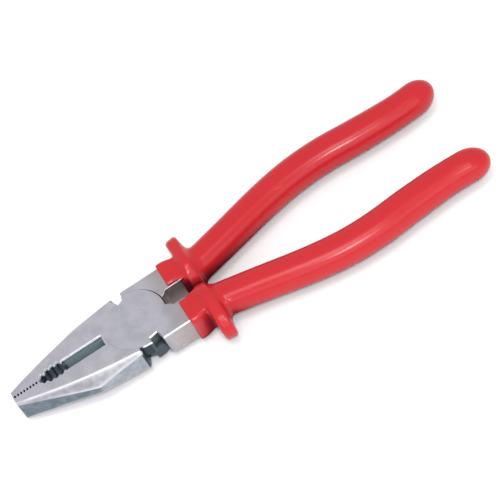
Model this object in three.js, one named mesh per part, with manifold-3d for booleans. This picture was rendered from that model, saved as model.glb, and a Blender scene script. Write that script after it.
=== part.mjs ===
// Lineman pliers, closed: two lapped forgings, the rivet they turn on, and two moulded grips.
// Millimetres. The pivot axis is Z. The jaws point to -X and the handles to +X. The head is as thick
// as THICKNESS, and its rear face lies on z = 0.
import * as THREE from 'three';
import { mergeVertices } from 'three/addons/utils/BufferGeometryUtils.js';
import Module from 'manifold-3d';

const wasm = await Module();
wasm.setup();

// ---- Driving dimensions ----
const THICKNESS = 12.3;
const FACE = THICKNESS / 2;
const SEAM = 0.05;
const CHAMFER = 0.5;

// The head's plan. Its flat faces have a curved edge, and its sides taper to the tip.
const TIP_X = -55.6;
const VERTEX_X = -25.3;
const NECK_X = 1.4;
const TANG_END_X = 25.4;
const TIP_EDGE = 2.7;
const MID_EDGE = 12.5;
const HEAD_EDGE = 14.55;
const TIP_SIDE = 3.26;
const HEAD_SIDE = 14.95;
const TIP_RIDGE = 4.7;
const FACET_SLOPE = 0.9;

// The lap joint: a big radius against the other jaw, a smaller one against the other tang.
const JAW_RADIUS = 13.8;
const TANG_RADIUS = 12.75;
const SECTOR_END = 290;
const RIVET_RADIUS = 4;
const RIVET_CLEARANCE = 0.03;

// The end of a tang beside the joint. The front one stops at the shear notch, the rear one is a
// shoulder that the front jaw meets when the pliers are open.
const NOTCH_WALL_X = 4.6;
const SHOULDER_X = -0.3;
const END_ROUND = 4;

// The jaws' working edges.
const SERRATIONS = 8;
const SERRATION_PITCH = 1.38;
const SERRATION_X = -54.7;
const TOOTH_X = -42.2;
const TOOTH_PITCH = 2.5;
const CUTTER_START_X = -32.9;
const CUTTER_END_X = -15.1;
const CUTTER_WIDTH = 2.25;
const CUTTER_LIP = 1.2;

// A handle's centre line, as its distance from the middle plane at x, from the joint to the grip's end.
const HANDLE_LINE = [
  [16, 9.3], [27, 9.45], [43.4, 13.15], [66, 18.9], [81, 21.55],
  [95, 22.1], [111, 20.9], [129, 20.2], [147, 21.4],
];

// The grips.
const GRIP_CLEARANCE = 0.3;
const COLLAR_X = 16.9;
const COLLAR_CENTRE = 10.45;
const COLLAR_WIDTH = 6.25;
const COLLAR_DEPTH = 7.2;
const GUARD_X = 27.2;
const GUARD_HALF = 2.7;
const GUARD_ROUND = 9.2;
const GUARD_TAB_REACH = 9.75;
const GUARD_TAB_ROUND = 7.1;
const SLEEVE_X = 34;
const SLEEVE_END_X = 146.4;
const SLEEVE_FLATNESS = 0.905;
const END_LENGTH = 10;
// The sleeve's half width at x: slim behind the guard, full in the bow, slim again at the end.
const SLEEVE_WIDTHS = [[34, 6.95], [56, 7.15], [72, 7.2], [104, 7.12], [121, 6.86], [131, 6.7], [147, 6.72]];

const STEEL = new THREE.MeshStandardMaterial({ color: 0xb9b8c0, roughness: 0.32, metalness: 1 });
const PLASTIC = new THREE.MeshStandardMaterial({ color: 0xd4373c, roughness: 0.3, metalness: 0 });

// ---- Solids ----
// A closed skin over rings of points that follow each other up the axis of their flat outline.
function skin(rings, outline) {
  const count = outline.length;
  const index = [];
  for (let ring = 0; ring + 1 < rings.length; ring += 1) {
    for (let i = 0; i < count; i += 1) {
      const low = ring * count;
      const next = (i + 1) % count;
      index.push(low + i, low + next, low + count + next);
      index.push(low + i, low + count + next, low + count + i);
    }
  }
  const flat = outline.map(([u, v]) => new THREE.Vector2(u, v));
  const last = (rings.length - 1) * count;
  for (const [a, b, c] of THREE.ShapeUtils.triangulateShape(flat, [])) {
    index.push(a, c, b);
    index.push(last + a, last + b, last + c);
  }
  const geometry = new THREE.BufferGeometry();
  geometry.setAttribute('position', new THREE.Float32BufferAttribute(rings.flat(2), 3));
  geometry.setIndex(index);
  return toSolid(geometry);
}

function toSolid(geometry) {
  const bare = geometry.clone();
  bare.deleteAttribute('normal');
  bare.deleteAttribute('uv');
  const merged = mergeVertices(bare, 1e-5);
  const vertProperties = new Float32Array(merged.attributes.position.array);
  const triVerts = new Uint32Array(merged.index.array);
  return new wasm.Manifold(new wasm.Mesh({ numProp: 3, vertProperties, triVerts }));
}

function toMesh(name, solid, material) {
  const { vertProperties, triVerts } = solid.getMesh();
  const geometry = new THREE.BufferGeometry();
  geometry.setAttribute('position', new THREE.BufferAttribute(vertProperties, 3));
  geometry.setIndex(new THREE.BufferAttribute(triVerts, 1));
  geometry.computeVertexNormals();
  const mesh = new THREE.Mesh(geometry, material);
  mesh.name = name;
  return mesh;
}

// A straight prism of a THREE.Shape between two heights.
function prism(shape, low, high) {
  const geometry = new THREE.ExtrudeGeometry(shape, {
    depth: high - low,
    bevelEnabled: false,
    curveSegments: 72,
  });
  geometry.translate(0, 0, low);
  return toSolid(geometry);
}

function polygon(points) {
  return new THREE.Shape(points.map(([x, y]) => new THREE.Vector2(x, y)));
}

// Moves every edge of a counter-clockwise outline outwards by a distance.
function offset(outline, distance) {
  return outline.map(([x, y], i) => {
    const [px, py] = outline[(i + outline.length - 1) % outline.length];
    const [nx, ny] = outline[(i + 1) % outline.length];
    const before = new THREE.Vector2(x - px, y - py).normalize();
    const after = new THREE.Vector2(nx - x, ny - y).normalize();
    const normal = new THREE.Vector2(before.y + after.y, -before.x - after.x).normalize();
    const reach = distance / (normal.x * after.y - normal.y * after.x);
    return [x + normal.x * reach, y + normal.y * reach];
  });
}

// A cutter that goes right through the head and leaves a chamfer where it meets each face.
function chamferCutter(outline, chamfer = CHAMFER) {
  const past = 0.1;
  const levels = [
    [-FACE - past, chamfer + past],
    [-FACE + chamfer, 0],
    [FACE - chamfer, 0],
    [FACE + past, chamfer + past],
  ];
  const rings = levels.map(([z, grow]) => offset(outline, grow).map(([x, y]) => [x, y, z]));
  return skin(rings, outline);
}

// ---- The head, before it is divided between the two halves ----
function faceEdge(x) {
  const u = Math.min(1, (x - TIP_X) / (NECK_X - TIP_X));
  return TIP_EDGE * (1 - u) ** 2 + 2 * MID_EDGE * u * (1 - u) + HEAD_EDGE * u ** 2;
}

function sideEdge(x) {
  const u = Math.min(1, (x - TIP_X) / (VERTEX_X - TIP_X));
  return TIP_SIDE + (HEAD_SIDE - TIP_SIDE) * u;
}

// Height of the ridge between a facet and the upright side: lowest where the side starts to taper.
function ridgeHeight(x) {
  const sloped = FACE - (HEAD_SIDE - faceEdge(Math.max(x, VERTEX_X))) / FACET_SLOPE;
  const u = Math.max(0, (VERTEX_X - x) / (VERTEX_X - TIP_X));
  return sloped + (TIP_RIDGE - sloped) * u;
}

// The octagonal section at x: two flat faces, two upright sides and four facets between them.
function headSection(x) {
  const edge = faceEdge(x);
  const side = sideEdge(x);
  const ridge = ridgeHeight(x);
  return [
    [edge, FACE],
    [-edge, FACE],
    [-side, ridge],
    [-side, -ridge],
    [-edge, -FACE],
    [edge, -FACE],
    [side, -ridge],
    [side, ridge],
  ];
}

function makeHead() {
  const stations = [];
  const jawSteps = 20;
  const neckSteps = 11;
  for (let i = 0; i < jawSteps; i += 1) {
    stations.push(TIP_X + ((VERTEX_X - TIP_X) * i) / jawSteps);
  }
  for (let i = 0; i <= neckSteps; i += 1) {
    stations.push(VERTEX_X + ((NECK_X - VERTEX_X) * i) / neckSteps);
  }
  stations.push(TANG_END_X);
  const rings = stations.map((x) => headSection(x).map(([y, z]) => [x, y, z]));
  return skin(rings, headSection(TIP_X));
}

// ---- One half: upper jaw in front, lower tang ----
const radians = THREE.MathUtils.degToRad;

// The half's own disc, with the big radius below the parting line on the jaw side.
function discShape(grow) {
  const shape = new THREE.Shape();
  shape.absarc(0, 0, JAW_RADIUS + grow, Math.PI, radians(SECTOR_END), false);
  shape.absarc(0, 0, TANG_RADIUS + grow, radians(SECTOR_END), 3 * Math.PI, false);
  return shape;
}

// The other half's disc is the same one turned over, and its bed is a seam wider.
function discBed() {
  return prism(discShape(SEAM), -FACE - 1, SEAM / 2).mirror([0, 1, 0]);
}

function circleShape(radius, x = 0, y = 0) {
  const shape = new THREE.Shape();
  shape.absarc(x, y, radius, 0, 2 * Math.PI, false);
  return shape;
}

// The disc's edge draws back from the other tang towards the gap between the handles.
function crescentCutter() {
  const ring = new THREE.Shape();
  ring.absarc(0, 0, TANG_RADIUS + 1, radians(-9), radians(60), false);
  ring.absarc(0, 0, TANG_RADIUS - 1, radians(60), radians(-9), true);
  const kept = prism(circleShape(TANG_RADIUS, -0.45, 0.26), -1, FACE + 2);
  return prism(ring, SEAM / 2, FACE + 1).subtract(kept);
}

// Half of the toothed opening: valleys and tooth tips follow the curve of a gripped pipe.
function toothLine() {
  const valleys = [1.9, 2.9, 3, 2.9];
  const tips = [1.2, 2.1, 2.1, 1.7];
  const points = [[TOOTH_X - 1.5, SEAM / 2]];
  valleys.forEach((depth, i) => {
    const x = TOOTH_X + i * TOOTH_PITCH;
    points.push([x, depth]);
    points.push([x + TOOTH_PITCH / 2, tips[i]]);
  });
  points.push([CUTTER_START_X + 1, 1.9]);
  points.push([CUTTER_START_X + 1, SEAM / 2]);
  return points;
}

function toothCutter() {
  const upper = toothLine();
  const lower = upper.map(([x, y]) => [x, -y]);
  return chamferCutter([...lower, ...upper.reverse()]);
}

// The bevels of the wire cutter: a square-ended recess in each face that narrows to the edge.
function cutterRecess() {
  const start = CUTTER_START_X;
  const levels = [
    [FACE + 0.1, CUTTER_WIDTH + CHAMFER + 0.1],
    [FACE - CHAMFER, CUTTER_WIDTH],
    [FACE - CHAMFER - CUTTER_LIP, CUTTER_WIDTH],
    [0, 0.01],
  ];
  const all = [...levels.map(([z, w]) => [-z, w]), ...levels.slice(0, -1).reverse()];
  const box = (width) => {
    const end = CUTTER_END_X + Math.max(0, width - CUTTER_WIDTH);
    return [[start, -width], [end, -width], [end, width], [start, width]];
  };
  const rings = all.map(([z, width]) => box(width).map(([x, y]) => [x, y, z]));
  return skin(rings, box(1));
}

function serrationCutters() {
  const cutters = [];
  for (let i = 0; i < SERRATIONS; i += 1) {
    const x = SERRATION_X + i * SERRATION_PITCH;
    const groove = polygon([[x - 0.5, 0], [x, -0.8], [x + 0.5, 0], [x, 0.8]]);
    cutters.push(prism(groove, -FACE - 1, FACE + 1));
  }
  return cutters;
}

// The clearance beside the jaw, which the other half's shoulder enters as the pliers open.
function jawNotchCutter() {
  return chamferCutter([[-3.2, 10.5], [-0.7, 11.6], [SHOULDER_X, 17], [-5.8, 17]]);
}

// The wire shear in the front half's lower edge.
function shearNotchCutter() {
  return chamferCutter([[0.7, -17], [5.2, -17], [NOTCH_WALL_X, -14], [3.9, -10.7], [0.7, -11.4]]);
}

// Rounds the rear corner of the tang that ends at the shear notch.
function tangEndCutter() {
  const right = NOTCH_WALL_X + END_ROUND;
  const shape = new THREE.Shape();
  shape.moveTo(NOTCH_WALL_X - 1, -FACE - 1);
  shape.lineTo(right, -FACE - 1);
  shape.lineTo(right, -FACE);
  shape.absarc(right, -FACE + END_ROUND, END_ROUND, -Math.PI / 2, -Math.PI, true);
  shape.lineTo(NOTCH_WALL_X - 1, -FACE + END_ROUND);
  const geometry = new THREE.ExtrudeGeometry(shape, {
    depth: 12,
    bevelEnabled: false,
    curveSegments: 8,
  });
  geometry.rotateX(Math.PI / 2);
  geometry.translate(0, -7, 0);
  return toSolid(geometry);
}

// The chamfer of the disc's free edge, between the other jaw and the shear notch.
function discEdgeCutter() {
  const inner = [];
  const steps = 6;
  for (let i = 0; i <= steps; i += 1) {
    const angle = radians(272 - (i * 23) / steps);
    const radius = JAW_RADIUS + SEAM / 2;
    inner.push([radius * Math.cos(angle), radius * Math.sin(angle)]);
  }
  return chamferCutter([[-6, -16.5], [1.4, -16.5], ...inner]);
}

// The gap between the tangs, with the small step beside the disc.
function tangGapCutter() {
  return chamferCutter([[12.6, -2], [14, -2.6], [15.2, -3.9], [40, -4.5], [40, 9], [12.6, 9]], 0.2);
}

// Where a handle's middle is at x, from the joint to the end of the grip.
const handleLine = new THREE.CatmullRomCurve3(
  HANDLE_LINE.map(([x, y]) => new THREE.Vector3(x, -y, 0)),
  false,
  'centripetal',
);
const handlePoints = handleLine.getSpacedPoints(300);

function handleCentre(x) {
  const after = handlePoints.findIndex((point) => point.x >= x);
  const index = THREE.MathUtils.clamp(after, 1, handlePoints.length - 1);
  const [a, b] = [handlePoints[index - 1], handlePoints[index]];
  return a.y + ((b.y - a.y) * (x - a.x)) / (b.x - a.x);
}

// The tang inside the grip: a bar of eight-sided section that gets thinner towards its end.
const TANG_STATIONS = [
  [21, 4.9, 5.6],
  [25.4, 4.9, 5.6],
  [32, 4.4, 4.8],
  [46, 4.3, 4.4],
  [62, 4.2, 4.2],
  [78, 4.1, 4.1],
  [92, 4, 4],
  [108, 3.8, 3.8],
  [120, 3.6, 3.6],
  [128, 3.2, 3.2],
];

function makeTangBar(grow) {
  const section = (width, depth) => {
    const corner = 1.2;
    return [
      [width - corner, depth], [corner - width, depth], [-width, depth - corner],
      [-width, corner - depth], [corner - width, -depth], [width - corner, -depth],
      [width, corner - depth], [width, depth - corner],
    ];
  };
  const rings = TANG_STATIONS.map(([x, width, depth], i) => {
    const end = i === TANG_STATIONS.length - 1 ? grow : 0;
    return section(width + grow, depth + grow).map(([y, z]) => [x + end, handleCentre(x) + y, z]);
  });
  return skin(rings, section(4, 4));
}

function makeHalf(tangStart, extraCutters) {
  const jaw = polygon([[-60, SEAM / 2], [-1, SEAM / 2], [-1, 17], [-60, 17]]);
  const tang = polygon([[tangStart, -17], [26, -17], [26, -2], [9, -2], [tangStart, -8]]);
  let half = prism(jaw, -FACE - 1, FACE + 1).add(prism(tang, -FACE - 1, FACE + 1));
  half = half.subtract(discBed());
  half = half.add(prism(discShape(0), SEAM / 2, FACE + 1));
  half = half.intersect(makeHead());
  const cutters = [
    toothCutter(),
    cutterRecess(),
    ...serrationCutters(),
    jawNotchCutter(),
    tangGapCutter(),
    crescentCutter(),
    prism(circleShape(RIVET_RADIUS + RIVET_CLEARANCE), -FACE - 1, FACE + 1),
    ...extraCutters,
  ];
  for (const cutter of cutters) {
    half = half.subtract(cutter);
  }
  return half.add(makeTangBar(0));
}

// ---- The grip of the lower handle ----
const RING_POINTS = 24;

function superellipse(angle, width, depth, power) {
  const across = Math.abs(Math.cos(angle) / width) ** power;
  const along = Math.abs(Math.sin(angle) / depth) ** power;
  return (across + along) ** (-1 / power);
}

// The guard's outline: a round about the handle that runs out into a narrower tab.
function guardRadius(angle) {
  let radius = 0;
  const steps = 12;
  for (let i = 0; i <= steps; i += 1) {
    const reach = (GUARD_TAB_REACH * i) / steps;
    const round = GUARD_ROUND + ((GUARD_TAB_ROUND - GUARD_ROUND) * i) / steps;
    const inside = round ** 2 - (reach * Math.sin(angle)) ** 2;
    if (inside > 0) {
      radius = Math.max(radius, Math.sqrt(inside) - reach * Math.cos(angle));
    }
  }
  return radius;
}

function gripRing(x, centre, radiusAt) {
  const ring = [];
  for (let i = 0; i < RING_POINTS; i += 1) {
    const angle = (2 * Math.PI * i) / RING_POINTS;
    const radius = radiusAt(angle);
    ring.push([x, centre + radius * Math.cos(angle), radius * Math.sin(angle)]);
  }
  return ring;
}

function sleeveWidth(x) {
  const after = SLEEVE_WIDTHS.findIndex(([at]) => at > x);
  const [[x0, w0], [x1, w1]] = SLEEVE_WIDTHS.slice(Math.max(after, 1) - 1);
  return w0 + ((w1 - w0) * Math.max(0, x - x0)) / (x1 - x0);
}

function makeGripBody() {
  const rings = [];
  const collar = (x, inset) => gripRing(x, -COLLAR_CENTRE, (angle) => (
    superellipse(angle, COLLAR_WIDTH - inset, COLLAR_DEPTH - inset, 7)
  ));
  rings.push(collar(COLLAR_X, 0.35));
  rings.push(collar(COLLAR_X + 0.35, 0));
  rings.push(collar(GUARD_X - GUARD_HALF - 0.3, 0));
  // The guard's two faces are nearly square to the handle, and its rim is rounded.
  const rim = [
    [-1, 1.7], [-0.9, 0.8], [-0.65, 0.2], [-0.3, 0],
    [0.2, 0.05], [0.6, 0.35], [0.87, 1], [1, 1.9],
  ];
  for (const [share, inset] of rim) {
    const centre = handleCentre(GUARD_X);
    rings.push(gripRing(GUARD_X + share * GUARD_HALF, centre, (angle) => guardRadius(angle) - inset));
  }
  // The hollow between the guard and the sleeve, then the sleeve.
  const sleeve = (x, scale) => gripRing(x, handleCentre(x), (angle) => (
    scale * superellipse(angle, sleeveWidth(x), SLEEVE_FLATNESS * sleeveWidth(x), 2.3)
  ));
  rings.push(sleeve(GUARD_X + GUARD_HALF + 0.4, 1.2));
  rings.push(sleeve(GUARD_X + GUARD_HALF + 1.3, 1.06));
  rings.push(sleeve(SLEEVE_X, 1));
  const steps = 17;
  const bodyEnd = SLEEVE_END_X - END_LENGTH;
  for (let i = 1; i <= steps; i += 1) {
    rings.push(sleeve(SLEEVE_X + ((bodyEnd - SLEEVE_X) * i) / steps, 1));
  }
  for (const turn of [25, 45, 62, 76, 86]) {
    const along = Math.sin(radians(turn));
    rings.push(sleeve(bodyEnd + END_LENGTH * along, Math.cos(radians(turn))));
  }
  const outline = rings[0].map(([, y, z]) => [y, z]);
  return skin(rings, outline);
}

// The room that the tang takes up inside the grip. The collar is open towards the other handle.
function makeTangRoom() {
  const side = HEAD_SIDE + GRIP_CLEARANCE;
  const depth = FACE + GRIP_CLEARANCE;
  const inner = 3.5;
  const room = polygon([[COLLAR_X - 5, -side], [TANG_END_X + 0.3, -side], [TANG_END_X + 0.3, -inner],
    [COLLAR_X - 5, -inner]]);
  return prism(room, -depth, depth).add(makeTangBar(GRIP_CLEARANCE));
}

function makeGrip() {
  return makeGripBody().subtract(makeTangRoom());
}

// ---- Assembly ----
const rivet = prism(circleShape(RIVET_RADIUS), -FACE, FACE);
const rivetMesh = toMesh('pivot_rivet', rivet, STEEL);

const frontHalf = new THREE.Group();
frontHalf.add(toMesh('front_half', makeHalf(NOTCH_WALL_X, [
  shearNotchCutter(),
  tangEndCutter(),
  discEdgeCutter(),
]), STEEL));
frontHalf.add(toMesh('front_grip', makeGrip(), PLASTIC));

// The rear half is the same forging turned over about the handles' axis.
const rearHalf = new THREE.Group();
rearHalf.add(toMesh('rear_half', makeHalf(SHOULDER_X, []), STEEL));
rearHalf.add(toMesh('rear_grip', makeGrip(), PLASTIC));
rearHalf.rotation.x = Math.PI;

const group = new THREE.Group();
group.add(frontHalf, rearHalf, rivetMesh);
group.position.z = FACE;

export default group;
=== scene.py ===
"""Looks of the lineman pliers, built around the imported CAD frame.

Metres, in the row frame: the pivot axis is Z, the jaws point to -X, the handles to +X, and the head's
rear face lies on z = 0. Profiles and sections are written in millimetres and scaled by MM.
"""

import math
from collections import namedtuple

import bmesh
import bpy
from mathutils import Matrix, Quaternion, Vector


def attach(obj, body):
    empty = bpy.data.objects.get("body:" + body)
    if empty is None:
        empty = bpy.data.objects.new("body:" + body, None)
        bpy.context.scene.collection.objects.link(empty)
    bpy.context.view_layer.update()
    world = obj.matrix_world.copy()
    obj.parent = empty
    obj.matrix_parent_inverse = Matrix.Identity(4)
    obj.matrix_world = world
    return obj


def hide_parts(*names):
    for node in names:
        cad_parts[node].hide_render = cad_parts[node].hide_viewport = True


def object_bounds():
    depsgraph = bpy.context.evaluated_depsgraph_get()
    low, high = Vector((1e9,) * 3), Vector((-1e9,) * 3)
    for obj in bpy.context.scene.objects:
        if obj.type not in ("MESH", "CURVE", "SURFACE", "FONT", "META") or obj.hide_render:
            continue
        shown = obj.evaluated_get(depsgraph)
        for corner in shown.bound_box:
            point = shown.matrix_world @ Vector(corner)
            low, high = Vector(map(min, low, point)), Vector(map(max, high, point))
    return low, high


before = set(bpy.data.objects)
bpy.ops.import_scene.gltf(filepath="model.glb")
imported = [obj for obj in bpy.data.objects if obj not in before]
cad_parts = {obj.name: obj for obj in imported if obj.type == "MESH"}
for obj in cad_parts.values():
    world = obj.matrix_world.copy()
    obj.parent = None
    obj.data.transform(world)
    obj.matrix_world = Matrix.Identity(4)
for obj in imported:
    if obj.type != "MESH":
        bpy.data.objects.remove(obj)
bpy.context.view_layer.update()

MM = 0.001

# ---- Driving dimensions, in millimetres ----
# From the tool's middle plane to the head's flat faces.
FACE = 6.15

# A handle's centre line, as x and its distance from the plane between the handles.
HANDLE_LINE = [
    (16, 9.3), (27, 9.45), (43.4, 13.15), (66, 18.9), (81, 21.55),
    (95, 22.1), (111, 20.9), (129, 20.2), (147, 21.4),
]

# The collar's front edge, its centre line, and its half width and half depth.
COLLAR_X = 16.9
COLLAR_CENTRE = 10.45
COLLAR_WIDTH = 6.25
COLLAR_DEPTH = 7.2
COLLAR_FILLET = 0.6

# The guard: a round about the handle, with a narrower tab that reaches outwards.
GUARD_X = 27.2
GUARD_HALF = 2.6
GUARD_LEAN = 0.6
GUARD_ROUND = 9.2
GUARD_TAB_REACH = 9.75
GUARD_TAB_ROUND = 7.1
GUARD_RIM = 1.4
GUARD_SOFTNESS = 0.6

# The sleeve behind it: x and half width, how much less deep than wide it is, and its round end.
SLEEVE_WIDTHS = [
    (30, 6.95), (44, 7.04), (56, 7.15), (72, 7.2), (88, 7.15),
    (104, 7.12), (121, 6.86), (131, 6.66), (147, 6.8),
]
SLEEVE_FLATNESS = 0.905
SLEEVE_FILLET = 2.6
SLEEVE_END_X = 146.4
END_LENGTH = 9

# The steel inside the grip: x, half width and half depth of the tang, and the room round it.
TANG_STATIONS = [
    (21, 4.9, 5.6), (25.4, 4.9, 5.6), (32, 4.4, 4.8), (46, 4.3, 4.4), (62, 4.2, 4.2),
    (78, 4.1, 4.1), (92, 4, 4), (108, 3.8, 3.8), (120, 3.6, 3.6), (128.4, 3.2, 3.2),
]
WALL_CLEARANCE = 0.3

# The moulding nub behind the guard: where it is along the grip and round it, in degrees.
NUB_X = 32.4
NUB_ANGLE = 142
NUB_HEIGHT = 0.6

# Points in each ring of a grip.
RING_POINTS = 128

# The ground steel's colour, and its stains.
STEEL_LIGHT = (0.61, 0.595, 0.645)
STEEL_DARK = (0.48, 0.49, 0.55)


# ---- Shapes of the grips ----
def curve(points, x):
    """Height at x of the smooth curve through the points."""
    last = len(points) - 2
    index = max(i for i in range(last + 1) if i == 0 or points[i][0] <= x)

    def slope(i):
        before, after = max(i - 1, 0), min(i + 1, last + 1)
        return (points[after][1] - points[before][1]) / (points[after][0] - points[before][0])

    (x0, y0), (x1, y1) = points[index], points[index + 1]
    span = x1 - x0
    t = min(1, max(0, (x - x0) / span))
    start = (1 + 2 * t) * (1 - t) ** 2 * y0 + t * (1 - t) ** 2 * span * slope(index)
    end = t * t * (3 - 2 * t) * y1 + t * t * (t - 1) * span * slope(index + 1)
    return start + end


def handle_centre(x):
    """Distance of the handle's centre line from the tool's middle plane."""
    return curve(HANDLE_LINE, x)


def smoothstep(low, high, x):
    t = min(1, max(0, (x - low) / (high - low)))
    return t * t * (3 - 2 * t)


def grip_centre(x):
    """The collar sits a little further out than the handle behind it."""
    share = smoothstep(19, 25, x)
    return COLLAR_CENTRE * (1 - share) + handle_centre(x) * share


def superellipse(angle, width, depth, power):
    across = abs(math.cos(angle) / width) ** power
    along = abs(math.sin(angle) / depth) ** power
    return (across + along) ** (-1 / power)


def guard_radius(angle):
    """A round about the handle that runs out into a narrower tab, on the side away from the other grip."""
    radius = 0
    steps = 40
    for i in range(steps + 1):
        reach = GUARD_TAB_REACH * i / steps
        round_here = GUARD_ROUND + (GUARD_TAB_ROUND - GUARD_ROUND) * i / steps
        inside = round_here**2 - (reach * math.sin(angle)) ** 2
        if inside > 0:
            radius = max(radius, math.sqrt(inside) - reach * math.cos(angle))
    return radius


def sleeve_radius(angle, x):
    width = curve(SLEEVE_WIDTHS, x)
    return superellipse(angle, width, SLEEVE_FLATNESS * width, 2.3)


def arc(centre_x, centre_r, across, up, start, end, steps):
    """Points of an elliptical arc in the (x, r) plane, from one angle to another, in degrees."""
    found = []
    for i in range(steps + 1):
        a = math.radians(start + (end - start) * i / steps)
        found.append((centre_x + across * math.cos(a), centre_r + up * math.sin(a)))
    return found


def slope_curve(start, end, count):
    """Points of an S-curve between two (x, r) points, level at both ends."""
    points = []
    for i in range(count):
        t = i / (count - 1)
        share = smoothstep(0, 1, t)
        points.append((start[0] + (end[0] - start[0]) * t, start[1] + (end[1] - start[1]) * share))
    return points


def blend(first, second, share):
    return [(a + (c - a) * share, b + (d - b) * share) for (a, b), (c, d) in zip(first, second)]


def collar_profile(collar, lip, foot):
    """From the collar's rounded front edge to the foot of the guard."""
    points = arc(COLLAR_X + lip, collar - lip, lip, lip, 180, 90, 8)
    straight = foot - COLLAR_X - lip
    for i in range(1, 16):
        points.append((COLLAR_X + lip + straight * i / 16, collar))
    return points


def guard_front(collar, guard, foot, softness):
    """From the foot of the guard up to its rim."""
    front = GUARD_X - GUARD_HALF
    rise = guard - collar
    rim = min(GUARD_RIM, 0.55 * rise)
    fillet = min(COLLAR_FILLET, 0.43 * rise)
    square = arc(foot, collar + fillet, front - foot, fillet, -90, 0, 10)
    square += arc(front + GUARD_RIM, guard - rim, GUARD_RIM, rim, 180, 90, 12)
    soft = slope_curve((foot, collar), (GUARD_X, guard), len(square))
    return blend(square, soft, softness)


def guard_back(guard, sleeve, start, softness):
    """From the guard's rim down the hollow to the start of the sleeve."""
    back = GUARD_X + GUARD_HALF
    rise = guard - sleeve
    rim = min(GUARD_RIM, 0.55 * rise)
    fillet = min(SLEEVE_FILLET, 0.43 * rise)
    square = arc(back - GUARD_RIM, guard - rim, GUARD_RIM, rim, 90, 0, 12)
    square += arc(start, sleeve + fillet, SLEEVE_FILLET, fillet, 180, 270, 14)
    soft = slope_curve((GUARD_X + 0.3, guard), (start, sleeve), len(square))
    return blend(square, soft, softness)


def sleeve_profile(angle, start):
    """The bowed sleeve and its round end, without the tip itself."""
    body_end = SLEEVE_END_X - END_LENGTH
    points = []
    steps = 90
    for i in range(1, steps + 1):
        x = start + (body_end - start) * i / steps
        points.append((x, sleeve_radius(angle, x)))
    return points + arc(body_end, 0, END_LENGTH, sleeve_radius(angle, body_end), 90, 0, 28)[1:-1]


def grip_profile(angle):
    """The grip's outline along one side, as (x, r) from the collar's front edge to the end of the sleeve.

    The guard stands up square towards its tab, and is a soft ridge over the handle's faces.
    """
    outward = smoothstep(0.5, 1, -math.cos(angle))
    flank = abs(math.sin(angle))
    softness = GUARD_SOFTNESS * flank**2
    collar = superellipse(angle, COLLAR_WIDTH, COLLAR_DEPTH, 7)
    guard = guard_radius(angle)
    sleeve = sleeve_radius(angle, GUARD_X + 6)
    foot = GUARD_X - GUARD_HALF - COLLAR_FILLET - 1.2 * flank**2
    start = GUARD_X + GUARD_HALF + GUARD_LEAN + SLEEVE_FILLET
    points = collar_profile(collar, 0.5 + 1.4 * outward, foot)
    points += guard_front(collar, guard, foot, softness)
    points += guard_back(guard, sleeve, start, softness)
    return points + sleeve_profile(angle, start)


def nub(angle, x, r):
    """The small moulding nub behind the guard."""
    across = r * (angle - math.radians(NUB_ANGLE))
    return NUB_HEIGHT * math.exp(-((x - NUB_X) ** 2 + across**2) / 0.6)


def grip_rings():
    """The outside of the lower grip, as rings of points about the tool's middle plane z = 0."""
    angles = [2 * math.pi * i / RING_POINTS for i in range(RING_POINTS)]
    profiles = [grip_profile(angle) for angle in angles]
    rings = []
    for station in range(len(profiles[0])):
        ring = []
        for angle, profile in zip(angles, profiles):
            x, r = profile[station]
            r += nub(angle, x, r)
            ring.append((x, -grip_centre(x) + r * math.cos(angle), r * math.sin(angle)))
        rings.append(ring)
    return rings


def collar_room():
    """The room for the bare steel in the collar, open towards the other handle."""
    side, depth, inner = 15.25, FACE + WALL_CLEARANCE, 3.5
    corners = [(-side, -depth), (-inner, -depth), (-inner, depth), (-side, depth)]
    return [[(x, y, z) for y, z in corners] for x in (12, 25.7)]


def tang_room():
    """The room for the steel tang inside the sleeve."""
    rings = []
    for x, width, depth in TANG_STATIONS:
        ring = []
        for i in range(16):
            angle = 2 * math.pi * (i + 0.5) / 16
            r = superellipse(angle, width + WALL_CLEARANCE, depth + WALL_CLEARANCE, 6)
            ring.append((x, -handle_centre(x) + r * math.cos(angle), r * math.sin(angle)))
        rings.append(ring)
    return rings


# ---- Meshes ----
def skin_mesh(name, rings, caps):
    """A closed mesh over rings of points. caps says whether each end gets a flat face or a pole."""
    mesh = bmesh.new()
    loops = [[mesh.verts.new(Vector(p) * MM) for p in ring] for ring in rings]
    count = len(loops[0])
    for low, high in zip(loops, loops[1:]):
        for i in range(count):
            j = (i + 1) % count
            mesh.faces.new((low[i], low[j], high[j], high[i]))
    for loop, pole in zip((loops[0], loops[-1]), caps):
        if pole is None:
            mesh.faces.new(loop)
        else:
            tip = mesh.verts.new(Vector(pole) * MM)
            for i in range(count):
                mesh.faces.new((loop[i], loop[(i + 1) % count], tip))
    bmesh.ops.recalc_face_normals(mesh, faces=mesh.faces)
    data = bpy.data.meshes.new(name)
    mesh.to_mesh(data)
    mesh.free()
    return data


def add_object(name, data):
    obj = bpy.data.objects.new(name, data)
    bpy.context.scene.collection.objects.link(obj)
    return obj


def cut(obj, cutter):
    """Takes the cutter out of the object for good, and removes the cutter."""
    modifier = obj.modifiers.new("cut", "BOOLEAN")
    modifier.operation = "DIFFERENCE"
    modifier.solver = "EXACT"
    modifier.object = cutter
    cutter.hide_render = True
    bpy.context.view_layer.update()
    result = bpy.data.meshes.new_from_object(obj.evaluated_get(bpy.context.evaluated_depsgraph_get()))
    obj.modifiers.clear()
    obj.data = result
    bpy.data.objects.remove(cutter)


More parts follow.
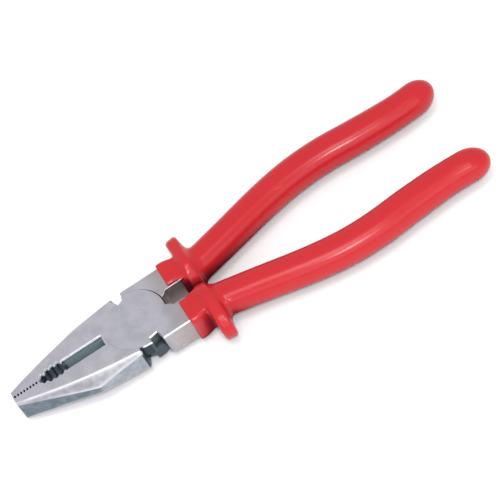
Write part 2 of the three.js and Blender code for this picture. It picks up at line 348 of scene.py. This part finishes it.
def grip_mesh():
    """The lower grip: its outside, less the room for the steel."""
    tip = (SLEEVE_END_X, -handle_centre(SLEEVE_END_X), 0)
    grip = add_object("grip", skin_mesh("grip", grip_rings(), (None, tip)))
    for name, rings in (("collar_room", collar_room()), ("tang_room", tang_room())):
        cut(grip, add_object(name, skin_mesh(name, rings, (None, None))))
    data = grip.data
    bpy.data.objects.remove(grip)
    return data


# ---- Materials ----
def new_material(name):
    material = bpy.data.materials.new(name)
    material.use_nodes = True
    nodes = material.node_tree.nodes
    nodes.clear()
    output = nodes.new("ShaderNodeOutputMaterial")
    surface = nodes.new("ShaderNodeBsdfPrincipled")
    material.node_tree.links.new(surface.outputs["BSDF"], output.inputs["Surface"])
    return material, surface


class Graph:
    """Short calls for adding procedural nodes to one material."""

    def __init__(self, material):
        self.nodes = material.node_tree.nodes
        self.link = material.node_tree.links.new
        self.coordinates = self.nodes.new("ShaderNodeTexCoord").outputs["Object"]

    def mapped(self, scale):
        node = self.nodes.new("ShaderNodeMapping")
        node.inputs["Scale"].default_value = scale
        self.link(self.coordinates, node.inputs["Vector"])
        return node.outputs["Vector"]

    def noise(self, scale, detail=3, stretch=(1, 1, 1), roughness=0.5):
        node = self.nodes.new("ShaderNodeTexNoise")
        node.inputs["Scale"].default_value = scale
        node.inputs["Detail"].default_value = detail
        node.inputs["Roughness"].default_value = roughness
        self.link(self.mapped(stretch), node.inputs["Vector"])
        return node.outputs["Fac"]

    def ramp(self, source, low, high, out_low, out_high):
        node = self.nodes.new("ShaderNodeMapRange")
        node.interpolation_type = "SMOOTHSTEP"
        values = {"From Min": low, "From Max": high, "To Min": out_low, "To Max": out_high}
        for socket, value in values.items():
            node.inputs[socket].default_value = value
        self.link(source, node.inputs["Value"])
        return node.outputs["Result"]

    def mix(self, factor, first, second):
        node = self.nodes.new("ShaderNodeMix")
        node.data_type = "RGBA"
        self.link(factor, node.inputs["Factor"])
        for value, socket in ((first, node.inputs[6]), (second, node.inputs[7])):
            if isinstance(value, tuple):
                socket.default_value = (*value, 1)
            else:
                self.link(value, socket)
        return node.outputs[2]

    def math(self, operation, first, second):
        node = self.nodes.new("ShaderNodeMath")
        node.operation = operation
        for value, socket in zip((first, second), node.inputs):
            if isinstance(value, (int, float)):
                socket.default_value = value
            else:
                self.link(value, socket)
        return node.outputs["Value"]

    def all_of(self, *masks):
        """The product of the masks."""
        product = masks[0]
        for mask in masks[1:]:
            product = self.math("MULTIPLY", product, mask)
        return product

    def edge_normal(self, radius):
        """The surface normal, rounded over sharp edges."""
        node = self.nodes.new("ShaderNodeBevel")
        node.samples = 8
        self.link(radius, node.inputs["Radius"])
        return node.outputs["Normal"]

    def open_sky(self, distance):
        """1 on open surfaces, less in corners and cavities."""
        node = self.nodes.new("ShaderNodeAmbientOcclusion")
        node.samples = 8
        node.inputs["Distance"].default_value = distance
        return node.outputs["AO"]

    def facing(self, axis):
        """1 on faces square to the axis, 0 on faces along it."""
        texture = self.nodes.new("ShaderNodeTexCoord")
        parts = self.nodes.new("ShaderNodeSeparateXYZ")
        self.link(texture.outputs["Normal"], parts.inputs[0])
        return self.math("ABSOLUTE", parts.outputs[axis], 0)

    def pivot_distance(self):
        """Distance from the pivot axis, in metres."""
        node = self.nodes.new("ShaderNodeVectorMath")
        node.operation = "LENGTH"
        self.link(self.mapped((1, 1, 0)), node.inputs[0])
        return node.outputs["Value"]

    def place(self):
        """The x and y coordinates, in metres."""
        parts = self.nodes.new("ShaderNodeSeparateXYZ")
        self.link(self.coordinates, parts.inputs[0])
        return parts.outputs["X"], parts.outputs["Y"]

    def upward(self, vector):
        """How much the vector points along the pivot axis, either way."""
        parts = self.nodes.new("ShaderNodeSeparateXYZ")
        self.link(vector, parts.inputs[0])
        return self.math("ABSOLUTE", parts.outputs["Z"], 0)

    def edge_mask(self, rounded):
        """1 where the rounded normal leaves the flat one, 0 on flat faces: the mask of the painted edge
        highlights.
        """
        geometry = self.nodes.new("ShaderNodeNewGeometry")
        node = self.nodes.new("ShaderNodeVectorMath")
        node.operation = "DOT_PRODUCT"
        self.link(geometry.outputs["True Normal"], node.inputs[0])
        self.link(rounded, node.inputs[1])
        return self.ramp(node.outputs["Value"], 0.965, 0.998, 1, 0)

    def bump(self, height, strength, distance, normal=None):
        node = self.nodes.new("ShaderNodeBump")
        node.inputs["Strength"].default_value = strength
        node.inputs["Distance"].default_value = distance
        self.link(height, node.inputs["Height"])
        if normal is not None:
            self.link(normal, node.inputs["Normal"])
        return node.outputs["Normal"]


# The steel's colours are masked by place. Each mask is a product of ramps over these: x, y and |y|, the
# distance from the pivot axis, all in metres, and how level the face is.
Place = namedtuple("Place", "along sideways across pivot level")


def ground_faces(graph, stains, grain):
    """The flat faces' satin grey, with stains, a faint blush, the grinding grain and scratches."""
    blush = graph.noise(230, 2)
    scratches = graph.noise(700, 2, (0.35, 18, 0.35))
    tone = graph.mix(graph.ramp(stains, 0.35, 0.68, 0, 1), STEEL_LIGHT, STEEL_DARK)
    tinted = graph.mix(graph.ramp(blush, 0.5, 0.75, 0, 0.4), tone, (0.57, 0.50, 0.50))
    grained = graph.mix(graph.ramp(grain, 0.3, 0.75, 0, 0.3), tinted, (0.36, 0.3675, 0.4125))
    scored = graph.mix(graph.ramp(scratches, 0.66, 0.74, 0, 0.25), grained, (0.7, 0.69, 0.73))
    return scored, scratches


def sides(graph, place, faces, grain):
    """Painted shade on the upright flanks and the sloped facets: dark flanks on the jaws, darkest near the
    tip, lighter ones on the tangs.
    """
    mottle = graph.noise(420, 3)
    mottled = graph.ramp(mottle, 0.3, 0.7, 0, 1)
    # Painted shade on the jaws' flanks, darkest at the tip.
    at_tip = graph.mix(mottled, (0.117, 0.153, 0.174), (0.183, 0.228, 0.26))
    at_head = graph.mix(mottled, (0.285, 0.308, 0.345), (0.375, 0.4, 0.44))
    jaw = graph.mix(graph.ramp(place.along, -0.0262, -0.0242, 0, 1), at_tip, at_head)
    tang = graph.mix(graph.ramp(grain, 0.3, 0.7, 0, 0.5), (0.46, 0.443, 0.45), (0.325, 0.313, 0.325))
    on_tang = graph.all_of(
        graph.ramp(place.along, 0.004, 0.008, 0, 1),
        graph.ramp(place.across, 0.012, 0.013, 0, 1),
    )
    flank = graph.mix(on_tang, jaw, tang)
    # Painted shade: the sloped facets are mottled darker.
    facet = graph.all_of(
        graph.ramp(place.level, 0.75, 0.85, 1, 0),
        graph.ramp(mottle, 0.3, 0.7, 0.4, 0.95),
    )
    faceted = graph.mix(facet, faces, (0.34, 0.335, 0.365))
    return graph.mix(graph.ramp(place.level, 0.2, 0.32, 1, 0), faceted, flank)


def cutter_bevels(graph, place, base):
    """The wire cutter's bevels in a darker green-grey painted shade, and painted light on the lip above
    them. Gives the colour and the bevels' mask.
    """
    bevel = graph.all_of(
        graph.ramp(place.level, 0.5, 0.62, 1, 0),
        graph.ramp(place.across, 0.0026, 0.0028, 1, 0),
    )
    lip = graph.all_of(
        bevel,
        graph.ramp(place.level, 0.05, 0.15, 1, 0),
        graph.ramp(place.along, -0.0321, -0.0318, 0, 1),
    )
    # Painted shade on the bevels, painted light on the upright lip.
    bevelled = graph.mix(bevel, base, (0.37, 0.44, 0.455))
    return graph.mix(lip, bevelled, (0.85, 0.9, 0.92)), bevel


def tang_gap(graph, place, base):
    """Painted light on the shaded walls between the tangs, with a pink painted reflection of the grips."""
    gap = graph.all_of(
        graph.ramp(place.along, 0.0105, 0.0115, 0, 1),
        graph.ramp(place.across, 0.0055, 0.006, 1, 0),
        graph.ramp(place.level, 0.8, 0.9, 1, 0),
    )
    # Lighter pinkish colour: painted light and a painted reflection of the red grips.
    return graph.mix(gap, base, (0.8, 0.71, 0.73))


def shear_notch(graph, place, base):
    """Painted shade: black inside the shear notch, on the disc's rim and on the jaw's end beside it."""
    before_wall = graph.ramp(place.along, 0.0048, 0.0052, 1, 0)
    notch = graph.all_of(graph.ramp(place.along, -0.0005, 0.0005, 0, 1), before_wall)
    rim = graph.all_of(
        graph.ramp(place.along, -0.0075, -0.0065, 0, 1),
        before_wall,
        graph.ramp(place.pivot, 0.01395, 0.0142, 1, 0),
    )
    upright = graph.ramp(place.level, 0.2, 0.32, 0.85, 0)
    inside = graph.all_of(graph.math("MAXIMUM", notch, rim), upright)
    slanted = graph.math("ADD", place.along, graph.math("MULTIPLY", place.across, 0.4))
    jaw_end = graph.all_of(
        graph.ramp(slanted, 0.00035, 0.0005, 0, 1),
        graph.ramp(place.level, 0.85, 0.95, 1, 0),
        graph.ramp(place.across, 0.0125, 0.013, 0, 1),
        graph.ramp(place.along, -0.0005, 0, 1, 0),
    )
    # Painted shade in the notch, on the rim and on the jaw's end.
    return graph.mix(graph.math("MAXIMUM", inside, jaw_end), base, (0.035, 0.052, 0.06))


def chamfer_highlights(graph, place):
    """Mask of the painted highlights on the ground chamfers beside the shear notch and at the end of the
    wire cutter.
    """
    chamfer = graph.all_of(
        graph.ramp(place.level, 0.6, 0.65, 0, 1),
        graph.ramp(place.level, 0.75, 0.8, 1, 0),
    )
    beside_notch = graph.all_of(
        chamfer,
        graph.ramp(place.along, -0.004, -0.003, 0, 1),
        graph.ramp(place.across, 0.01, 0.0105, 0, 1),
        graph.ramp(graph.facing("Y"), 0.5, 0.6, 0, 0.75),
    )
    cutter_end = graph.all_of(
        chamfer,
        graph.ramp(place.along, -0.0157, -0.0154, 0, 1),
        graph.ramp(place.across, 0.003, 0.0032, 1, 0),
        graph.ramp(graph.facing("X"), 0.5, 0.6, 0, 1),
    )
    return graph.math("MAXIMUM", beside_notch, cutter_end)


def edge_radius(graph, place):
    """How far the edges are rounded: not at the joint's seams, between the tangs or at the serrations.

    The edges of the jaw on the -Y side are rounded the widest, which also widens their painted highlight.
    """
    outer = graph.math(
        "MAXIMUM",
        graph.ramp(place.along, 0.008, 0.009, 1, 0),
        graph.ramp(place.across, 0.009, 0.01, 0, 1),
    )
    wide_jaw_edges = graph.all_of(
        graph.ramp(place.sideways, -0.0042, -0.0034, 1, 0),
        graph.ramp(place.along, -0.004, -0.003, 1, 0),
    )
    extra_width = graph.math("MULTIPLY", graph.ramp(place.level, 0.85, 0.95, 0.0022, 0.0008), wide_jaw_edges)
    return graph.all_of(
        graph.math("ADD", 0.00035, extra_width),
        graph.ramp(place.pivot, 0.0148, 0.0153, 0, 1),
        graph.ramp(place.across, 0.0009, 0.0012, 0, 1),
        outer,
    )


def steel_material(name):
    """Satin ground steel with painted shade on the flanks, in the shear notch and in corners, painted light
    and reflections of the grips, and painted highlights on edges and chamfers.
    """
    material, surface = new_material(name)
    graph = Graph(material)
    along, sideways = graph.place()
    across = graph.math("ABSOLUTE", sideways, 0)
    place = Place(along, sideways, across, graph.pivot_distance(), graph.facing("Z"))
    stains = graph.noise(150, 5)
    grain = graph.noise(1800, 3, (1, 6, 1))

    faces, scratches = ground_faces(graph, stains, grain)
    sided = sides(graph, place, faces, grain)
    bevelled, bevel = cutter_bevels(graph, place, sided)
    notch_shaded = shear_notch(graph, place, tang_gap(graph, place, bevelled))
    # Painted reflection of the red grips: the steel turns brownish and darker towards the collars.
    grip_reflected = graph.mix(graph.ramp(along, 0.006, 0.017, 0, 0.5), notch_shaded, (0.34, 0.26, 0.24))

    rounded = graph.edge_normal(edge_radius(graph, place))
    sky = graph.open_sky(0.004)
    # Painted highlights: near-white colour on the rounded, open edges that face up, and on the chamfers.
    edge_highlight = graph.all_of(
        graph.edge_mask(rounded),
        graph.ramp(sky, 0.45, 0.8, 0, 0.9),
        graph.ramp(graph.upward(rounded), 0.2, 0.32, 0, 1),
    )
    highlights = graph.math("MAXIMUM", edge_highlight, chamfer_highlights(graph, place))
    highlighted = graph.mix(highlights, grip_reflected, (0.93, 0.92, 0.96))
    # Painted shade in corners and cavities, weaker on the cutter's bevels.
    corner = graph.math("MULTIPLY", graph.ramp(sky, 0.1, 0.7, 0.85, 0), graph.ramp(bevel, 0, 1, 1, 0.3))
    graph.link(graph.mix(corner, highlighted, (0.06, 0.085, 0.095)), surface.inputs["Base Color"])
    surface.inputs["Metallic"].default_value = 1

    dullness = graph.ramp(stains, 0.3, 0.7, 0.3, 0.4)
    rough = graph.math("ADD", dullness, graph.ramp(grain, 0.2, 0.8, -0.04, 0.06))
    graph.link(rough, surface.inputs["Roughness"])
    normal = graph.bump(grain, 0.2, 0.00002, rounded)
    normal = graph.bump(scratches, 0.2, 0.00003, normal)
    graph.link(normal, surface.inputs["Normal"])
    return material


def plastic_material(name):
    """Glossy moulded plastic: slight flow marks, fine texture, scuffs and dust in the surface, and painted
    shade where the surface is closed in.
    """
    material, surface = new_material(name)
    graph = Graph(material)
    flow = graph.noise(45, 3, (0.35, 1, 1))
    speckle = graph.noise(1400, 2)
    scuffs = graph.noise(260, 4, (0.25, 1.6, 1.6), 0.65)
    tone = graph.mix(graph.ramp(flow, 0.3, 0.7, 0, 1), (0.455, 0.013, 0.018), (0.49, 0.016, 0.021))
    speckled = graph.mix(graph.ramp(speckle, 0.62, 0.8, 0, 0.25), tone, (0.37, 0.012, 0.016))
    scuffed = graph.mix(graph.ramp(scuffs, 0.64, 0.78, 0, 0.18), speckled, (0.62, 0.05, 0.055))
    # Painted shade where the surface is closed in, as near the floor and in hollows, with less specular
    # there.
    painted_shade = graph.ramp(graph.open_sky(0.025), 0.25, 0.66, 0.9, 0)
    graph.link(graph.mix(painted_shade, scuffed, (0.10, 0.010, 0.018)), surface.inputs["Base Color"])
    graph.link(graph.ramp(painted_shade, 0, 0.7, 0.3, 0), surface.inputs["Specular IOR Level"])
    rough = graph.math("ADD", graph.ramp(flow, 0.3, 0.7, 0.19, 0.25), graph.ramp(scuffs, 0.6, 0.8, 0, 0.16))
    graph.link(rough, surface.inputs["Roughness"])
    normal = graph.bump(flow, 0.25, 0.0006)
    normal = graph.bump(speckle, 0.12, 0.00003, normal)
    graph.link(normal, surface.inputs["Normal"])
    return material


def floor_material():
    material, surface = new_material("pale_floor")
    graph = Graph(material)
    mottle = graph.noise(12, 3)
    graph.link(graph.mix(mottle, (0.96, 0.96, 0.965), (0.98, 0.98, 0.98)), surface.inputs["Base Color"])
    surface.inputs["Roughness"].default_value = 0.75
    return material


steel = steel_material("ground_steel")
rivet_steel = steel_material("rivet_steel")
plastic = plastic_material("red_plastic")


# ---- Pieces ----
def smoothing_nodes():
    """Geometry nodes that smooth a mesh's shading and keep its edges sharp."""
    group = bpy.data.node_groups.new("smooth_by_angle", "GeometryNodeTree")
    group.interface.new_socket("Mesh", in_out="INPUT", socket_type="NodeSocketGeometry")
    group.interface.new_socket("Mesh", in_out="OUTPUT", socket_type="NodeSocketGeometry")
    nodes, link = group.nodes, group.links.new
    source, result = nodes.new("NodeGroupInput"), nodes.new("NodeGroupOutput")
    merged = nodes.new("GeometryNodeMergeByDistance")
    merged.inputs["Distance"].default_value = 0.000001
    plain = nodes.new("GeometryNodeRemoveAttribute")
    plain.inputs["Name"].default_value = "custom_normal"
    faces = nodes.new("GeometryNodeSetShadeSmooth")
    edges = nodes.new("GeometryNodeSetShadeSmooth")
    edges.domain = "EDGE"
    edges.inputs["Shade Smooth"].default_value = False
    angle = nodes.new("GeometryNodeInputMeshEdgeAngle")
    sharp = nodes.new("FunctionNodeCompare")
    sharp.data_type = "FLOAT"
    sharp.operation = "GREATER_THAN"
    sharp.inputs["B"].default_value = math.radians(14)
    link(source.outputs[0], plain.inputs["Geometry"])
    link(plain.outputs["Geometry"], merged.inputs["Geometry"])
    link(merged.outputs["Geometry"], faces.inputs["Geometry"])
    link(faces.outputs["Geometry"], edges.inputs["Geometry"])
    link(angle.outputs["Unsigned Angle"], sharp.inputs["A"])
    link(sharp.outputs["Result"], edges.inputs["Selection"])
    link(edges.outputs["Geometry"], result.inputs[0])
    return group


smooth_by_angle = smoothing_nodes()


def show_node(node, material):
    """Shows a CAD node with its own material, smooth curves and crisp edges."""
    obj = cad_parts[node]
    obj.data.materials.clear()
    obj.data.materials.append(material)
    obj.modifiers.new("shading", "NODES").node_group = smooth_by_angle


show_node("front_half", steel)
show_node("rear_half", steel)
show_node("pivot_rivet", rivet_steel)

grips = []
lower_grip = grip_mesh()
lower_grip.materials.clear()
lower_grip.materials.append(plastic)
for side, body, turn in (("front", "front_body", 0), ("rear", "rear_body", math.pi)):
    data = lower_grip.copy()
    data.transform(Matrix.Translation((0, 0, FACE * MM)) @ Matrix.Rotation(turn, 4, "X"))
    data.shade_smooth()
    data.set_sharp_from_angle(angle=math.radians(65))
    grip = add_object(f"{side}_grip_moulding", data)
    grips.append(grip)
    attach(grip, body)
    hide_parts(f"{side}_grip")


# ---- Stage, light and camera ----
low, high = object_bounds()
floor_data = bpy.data.meshes.new("floor")
reach = 6
floor_data.from_pydata(
    [(-reach, -reach, low.z), (reach, -reach, low.z), (reach, reach, low.z), (-reach, reach, low.z)],
    [],
    [(0, 1, 2, 3)],
)
floor = add_object("floor", floor_data)
floor_data.materials.append(floor_material())


def direction(azimuth, elevation):
    """The unit vector towards a place round the object: azimuth 0 is the -Y side."""
    a, e = math.radians(azimuth), math.radians(elevation)
    return Vector((math.sin(a) * math.cos(e), -math.cos(a) * math.cos(e), math.sin(e)))


def softbox(name, azimuth, elevation, distance, width, height, power, colour):
    light = bpy.data.lights.new(name, "AREA")
    light.shape = "RECTANGLE"
    light.size = width
    light.size_y = height
    light.energy = power
    light.color = colour
    obj = add_object(name, light)
    towards = direction(azimuth, elevation)
    obj.location = Vector((0.045, 0, 0)) + towards * distance
    obj.rotation_mode = "QUATERNION"
    obj.rotation_quaternion = (-towards).to_track_quat("-Z", "Y")
    return obj


softbox("overhead_softbox", -10, 80, 1.0, 0.35, 0.35, 2.4, (1, 0.99, 0.98))
softbox("front_softbox", 0, 32, 1.1, 1.0, 0.6, 2.5, (0.98, 0.98, 1))

# The key light makes the sharp highlights on the grips. On the flat steel it would be a white patch.
key_light = softbox("key_light", 2, 58, 1.0, 0.1, 0.1, 3, (1, 1, 1))
lit_by_key = bpy.data.collections.new("lit_by_key")
for obj in (floor, *grips):
    lit_by_key.objects.link(obj)
key_light.light_linking.receiver_collection = lit_by_key

world = bpy.data.worlds.new("studio")
bpy.context.scene.world = world
world.use_nodes = True
background = world.node_tree.nodes["Background"]
background.inputs["Color"].default_value = (0.98, 0.98, 1, 1)
background.inputs["Strength"].default_value = 0.85

# The tool is seen from above its lower edge. The picture is turned so that the handles rise to the right.
camera_data = bpy.data.cameras.new("camera")
camera_data.lens = 158.92
camera_data.sensor_width = 36
camera_data.clip_start = 0.01
camera = add_object("camera", camera_data)
back = direction(-3.768, 52.835)
camera.location = Vector((0.050998, 0.002358, FACE * MM)) + back * 0.85
camera.rotation_mode = "QUATERNION"
camera.rotation_quaternion = (-back).to_track_quat("-Z", "Y") @ Quaternion((0, 0, 1), math.radians(-30.008))
bpy.context.scene.camera = camera
bpy.context.scene.view_settings.view_transform = "Standard"
